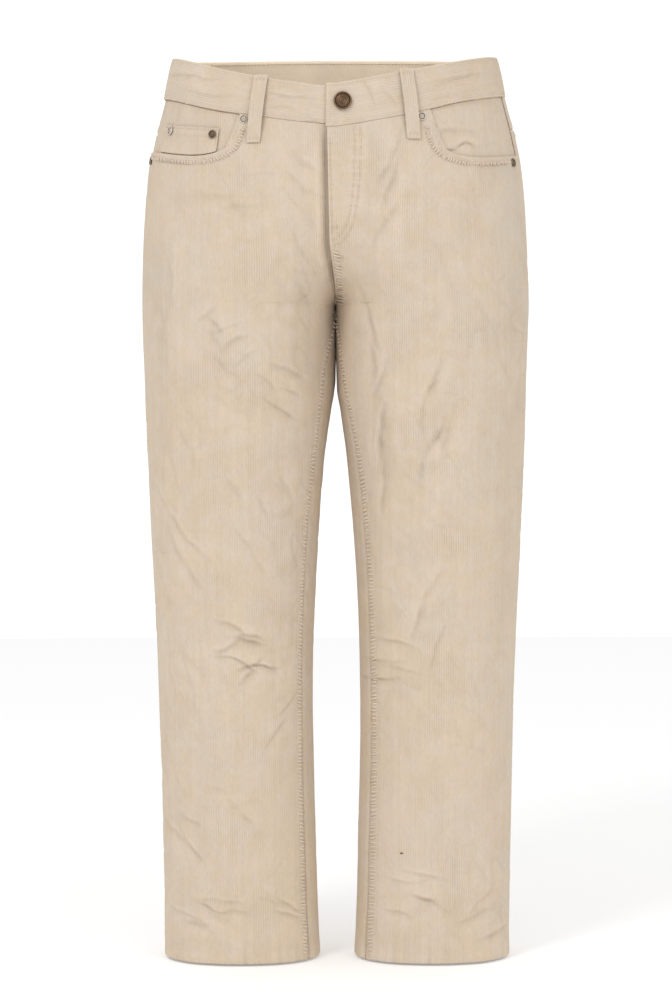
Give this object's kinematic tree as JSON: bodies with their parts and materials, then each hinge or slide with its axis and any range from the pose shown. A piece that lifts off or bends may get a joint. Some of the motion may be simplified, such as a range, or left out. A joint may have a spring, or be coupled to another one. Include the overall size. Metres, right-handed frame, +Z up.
{
  "type": "five-pocket corduroy trousers",
  "caption": "Straight-leg corduroy trousers with a waistband, belt loops, a button fly, riveted front pockets and patch back pockets, standing open as if worn",
  "frame": {"origin": "the middle of the waist opening, at the height of the waistband's side seams' mid-height", "axes": "+Z up, the front of the trousers faces -Y, +X is the wearer's left"},
  "size_m": [0.3646, 0.2444, 0.8615],
  "materials": {
    "corduroy": "fine-wale cotton corduroy, beige, soft nap with a low sheen",
    "antique_brass": "darkened antique brass, worn brighter on the rings",
    "pale_metal": "dull silvery plating over brass"
  },
  "bodies": {
    "root": {"front_left": "corduroy", "front_right": "corduroy", "back_left": "corduroy", "back_right": "corduroy", "yoke_left": "corduroy", "yoke_right": "corduroy", "pocket_bearer_left": "corduroy", "pocket_bearer_right": "corduroy", "back_pocket_left": "corduroy", "back_pocket_right": "corduroy", "coin_pocket": "corduroy", "waistband": "corduroy", "belt_loop_front_left": "corduroy", "belt_loop_front_right": "corduroy", "belt_loop_side_left": "corduroy", "belt_loop_side_right": "corduroy", "belt_loop_back": "corduroy", "button": "antique_brass", "rivet_pocket_right_front": "pale_metal", "rivet_coin_outer": "pale_metal", "rivet_pocket_left_front": "pale_metal", "rivet_coin_inner": "antique_brass", "rivet_pocket_right_side": "antique_brass", "rivet_pocket_left_side": "antique_brass"}
  },
  "joints": []
}
